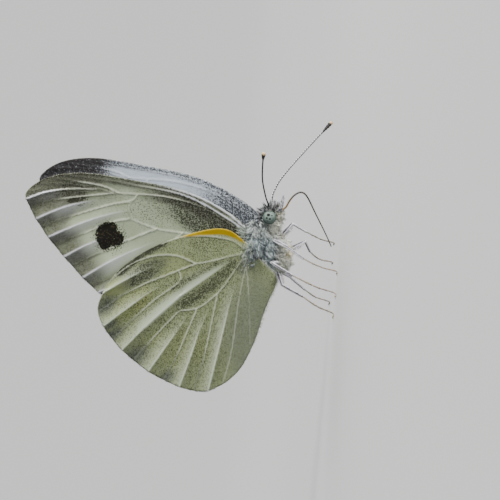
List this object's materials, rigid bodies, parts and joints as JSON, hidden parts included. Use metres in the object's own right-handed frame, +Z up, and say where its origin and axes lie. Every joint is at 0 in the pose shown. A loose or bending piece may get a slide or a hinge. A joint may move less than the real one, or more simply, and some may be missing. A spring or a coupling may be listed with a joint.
{
  "type": "white butterfly",
  "caption": "Life-size model of a small white butterfly standing on six legs with its wings closed over its back and its proboscis down.",
  "frame": {"origin": "on the floor, below the middle of the whole model's box", "axes": "+X forwards through the head, +Y to the butterfly's left, +Z up"},
  "size_m": [0.0304, 0.014, 0.0344],
  "materials": {
    "body_coat": "fine grey-white hairs and scales",
    "face_coat": "cream and dark grey hairs",
    "eye": "pale grey-green, finely faceted, glossy",
    "feeler": "dark brown shaft ringed with white scales, pale tip",
    "palp": "white scales and hairs",
    "tongue": "tan at the root, dark brown, satin",
    "leg": "white-lavender scales over dark brown, bare tan tarsi",
    "forewing": "greenish white scales, pale veins, black spot, grey dusting at root and tip",
    "hindwing": "yellow-green white scales dusted with black, yellow leading edge, pale veins"
  },
  "bodies": {
    "root": {"head": "face_coat", "thorax": "body_coat", "abdomen": "body_coat", "eye_left": "eye", "eye_right": "eye", "antenna_left": "feeler", "antenna_right": "feeler", "palp_left": "palp", "palp_right": "palp", "proboscis": "tongue", "forewing_left": "forewing", "forewing_right": "forewing", "hindwing_left": "hindwing", "hindwing_right": "hindwing", "leg_front_left": "leg", "leg_front_right": "leg", "leg_middle_left": "leg", "leg_middle_right": "leg", "leg_hind_left": "leg", "leg_hind_right": "leg"}
  },
  "joints": []
}
